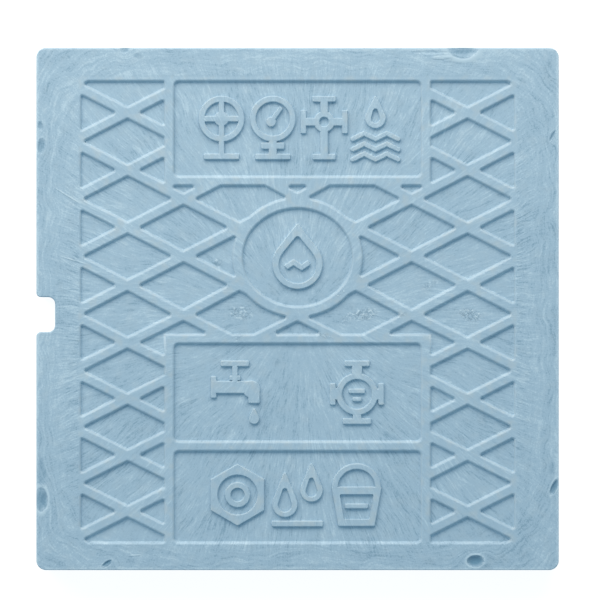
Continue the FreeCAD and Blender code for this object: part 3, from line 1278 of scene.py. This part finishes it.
@dataclass(frozen=True)
class RaisedMark:
    """A generic raised mark with slanting walls that stands on the floor of a field."""

    motif: Motif
    middle: Point
    floor: float = 0.0365
    sink: float = 0.1
    stagger: float = 0.000015
    profile: tuple[Point, ...] = ((0.0, 0.0), (0.6, 2.45), (0.95, 2.9), (1.6, 3.15))
    overshoot: float = 0.5
    least_sides: int = 6
    sides_per_mm: int = 2
    join_reach: float = 0.00002
    flat_angle: float = 0.5
    smooth_angle: float = 40.0

    def build(self, material: bpy.types.Material) -> bpy.types.Object:
        """Join the strokes in their order and dress the mark.

        Args:
            material: The finish.

        Returns:
            The finished mark.
        """
        whole = None
        for number, stroke in enumerate(SHAPES[self.motif]):
            for slope, section in enumerate(self.sections(stroke)):
                ground = self.floor - number * self.stagger
                # Every other cutter is turned by half a side, so that no corners coincide.
                solid = self.hull(stroke, section, ground, slope % 2 / 2)
                whole = solid if whole is None else self.combined(whole, solid, stroke.hollow)
        whole.name = "mark_" + self.motif.value
        whole.data.name = whole.name
        Bench.join_points(whole, self.join_reach)
        Bench.clear_flats(whole, self.flat_angle)
        Bench.smooth(whole, self.smooth_angle)
        Bench.finish_piece(whole, material)
        return whole

    def sections(self, stroke: Stroke) -> list[list[Point]]:
        """Say how a stroke's walls rise: how far in they are at which height.

        A hollow widens ever faster towards its top, so it takes one cutter for each slope.

        Args:
            stroke: The stroke.

        Returns:
            The sections, each from its foot to its top.
        """
        if not stroke.hollow:
            return [[(0.0, -self.sink), *self.profile]]
        reach = (-self.overshoot, self.profile[-1][1] + self.overshoot)
        found = []
        for (inward, low), (further, high) in zip(self.profile, self.profile[1:]):
            slope = (further - inward) / (high - low)
            found.append([(inward + (level - low) * slope, level) for level in reach])
        return found

    def hull(
        self, stroke: Stroke, section: list[Point], ground: float, turn: float
    ) -> bpy.types.Object:
        """Span one stroke between the rings of its discs.

        Args:
            stroke: The stroke.
            section: How its walls rise.
            ground: The level that they rise from.
            turn: How far the rings are turned, in parts of one of their sides.

        Returns:
            The solid.
        """
        rings = []
        for x, y, radius in stroke.lobes:
            sides = self.least_sides + self.sides_per_mm * int(radius)
            for inward, level in section:
                reach = radius + inward if stroke.hollow else radius - inward
                if reach <= 0:
                    continue
                bpy.ops.mesh.primitive_circle_add(
                    vertices=sides,
                    radius=reach * MM,
                    location=(self.middle[0] + x * MM, self.middle[1] + y * MM, ground + level * MM),
                    rotation=(0.0, 0.0, turn * 2 * math.pi / sides),
                )
                rings.append(Bench.added("ring_{}".format(len(rings))))
        Bench.take(rings[0])
        for ring in rings:
            ring.select_set(True)
        bpy.ops.object.join()
        bpy.ops.object.mode_set(mode="EDIT")
        bpy.ops.mesh.select_all(action="SELECT")
        bpy.ops.mesh.convex_hull()
        bpy.ops.object.mode_set(mode="OBJECT")
        return bpy.context.object

    def combined(
        self, whole: bpy.types.Object, tool: bpy.types.Object, hollow: bool
    ) -> bpy.types.Object:
        """Add a solid to the mark or cut it out.

        Args:
            whole: The mark so far.
            tool: The solid.
            hollow: Whether it is cut out.

        Returns:
            The mark.
        """
        Bench.take(whole)
        bpy.ops.object.modifier_add(type="BOOLEAN")
        cutter = whole.modifiers[-1]
        cutter.operation = "DIFFERENCE" if hollow else "UNION"
        cutter.solver = "EXACT"
        cutter.object = tool
        bpy.ops.object.modifier_apply(modifier=cutter.name)
        Bench.take(tool)
        bpy.ops.object.delete()
        return whole


MARKS = (
    RaisedMark(Motif.HANDWHEEL, (-0.0873, 0.2077)),
    RaisedMark(Motif.GAUGE, (-0.0284, 0.2077)),
    RaisedMark(Motif.CROSS_PIPE, (0.0306, 0.2077)),
    RaisedMark(Motif.SPRING_WATER, (0.0895, 0.2077)),
    RaisedMark(Motif.BIG_DROP, (0.0, 0.0602)),
    RaisedMark(Motif.TAP, (-0.0689, -0.0960)),
    RaisedMark(Motif.METER_BODY, (0.0683, -0.0960)),
    RaisedMark(Motif.HEX_NUT, (-0.0689, -0.2136)),
    RaisedMark(Motif.DROP_PAIR, (0.0, -0.2136)),
    RaisedMark(Motif.BUCKET, (0.0678, -0.2136)),
)


@dataclass
class Studio:
    """White table, soft lamp beyond the cover's upper edge, and camera straight above.

    The lamp's height and its turn to the left are angles in degrees.
    """

    span: float = 0.6888
    aim: Point = (0.0028, 0.0102)
    lens: float = 200.0
    sensor: float = 36.0
    top: float = 0.040
    lamp_distance: float = 3.3
    lamp_size: Point = (6.5, 1.8)
    lamp_height: float = 34.0
    lamp_turn: float = 15.0
    lamp_power: float = 148.0
    ambient: float = 0.43
    lamp_tone: Tone = (1.18, 0.98, 0.85)
    ambient_tone: Tone = (0.76, 1.03, 1.20)
    view_end: float = 50.0
    table_size: float = 8.0
    table_gap: float = 0.0002
    table_grey: Tone = (0.3, 0.3, 0.3)
    table_glow: float = 0.42
    seen_glow: float = 0.46

    def build(self) -> None:
        """Set the camera, the light, the world and the table."""
        self.camera()
        self.lamp()
        self.world()
        self.table()

    def camera(self) -> None:
        """Hang the camera over the cover, far off and with a long lens."""
        half_angle = math.atan(self.sensor / 2 / self.lens)
        distance = self.span / 2 / math.tan(half_angle)
        bpy.ops.object.camera_add(location=(*self.aim, self.top + distance))
        camera = bpy.context.object
        camera.name = "camera"
        camera.data.lens = self.lens
        camera.data.sensor_width = self.sensor
        camera.data.clip_end = self.view_end
        bpy.context.scene.camera = camera

    def lamp(self) -> None:
        """Hang one broad soft lamp."""
        height = math.radians(self.lamp_height)
        turn = math.radians(self.lamp_turn)
        level = math.cos(height)
        away = Vector((-math.sin(turn) * level, math.cos(turn) * level, math.sin(height)))
        bpy.ops.object.light_add(type="AREA", location=away * self.lamp_distance)
        lamp = bpy.context.object
        lamp.name = "softbox"
        lamp.rotation_euler = (-away).to_track_quat("-Z", "Y").to_euler()
        lamp.data.shape = "RECTANGLE"
        lamp.data.size, lamp.data.size_y = self.lamp_size
        lamp.data.energy = self.lamp_power
        lamp.data.color = self.lamp_tone

    def world(self) -> None:
        """Light the rest evenly, and show white behind the object."""
        world = bpy.data.worlds.new("studio")
        bpy.context.scene.world = world
        board = Board(world)
        path = board.node("ShaderNodeLightPath", None, None, "Is Camera Ray")
        seen = board.maths("MAXIMUM", path, path.other("Is Transmission Ray"))
        ambient = (*(self.ambient * part for part in self.ambient_tone), 1.0)
        glow = board.node("ShaderNodeBackground", None, {"Color": board.blend(seen, ambient, WHITE)})
        board.node("ShaderNodeOutputWorld", None, {"Surface": glow})

    def table(self) -> None:
        """Lay the white table top that the cover rests on."""
        Bench.clear()
        bpy.ops.mesh.primitive_plane_add(size=self.table_size, location=(0.0, 0.0, -self.table_gap))
        table = Bench.added("table_top")
        board = Board(bpy.data.materials.new("white_table"))
        path = board.node("ShaderNodeLightPath", None, None, "Is Camera Ray")
        seen = board.maths("MAXIMUM", path, path.other("Is Glossy Ray"))
        strength = self.table_glow + seen * self.seen_glow
        glow = board.node("ShaderNodeEmission", None, {"Color": WHITE, "Strength": strength})
        matt = board.node("ShaderNodeBsdfDiffuse", None, {"Color": (*self.table_grey, 1.0)})
        both = board.node("ShaderNodeAddShader", None, {0: glow, 1: matt})
        clear = board.node("ShaderNodeBsdfTransparent")
        back = board.node("ShaderNodeNewGeometry", None, None, "Backfacing")
        mixed = board.node("ShaderNodeMixShader", None, {0: back, 1: both, 2: clear})
        board.node("ShaderNodeOutputMaterial", None, {"Surface": mixed})
        table.data.materials.append(board.owner)


def main() -> None:
    """Build the cover's looks and the studio round it."""
    logging.basicConfig(level=logging.INFO, format="%(name)s: %(message)s")
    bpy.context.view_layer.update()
    Studio().build()
    LOG.info("studio set")
    finish = BlueMoulding().material()
    LOG.info("finish built")
    CoverSkin(frame["nodes"][NODE]).build(finish)
    for mark in MARKS:
        mark.build(finish)
    bpy.context.scene.view_settings.view_transform = "Standard"


if __name__ == "__main__":
    main()
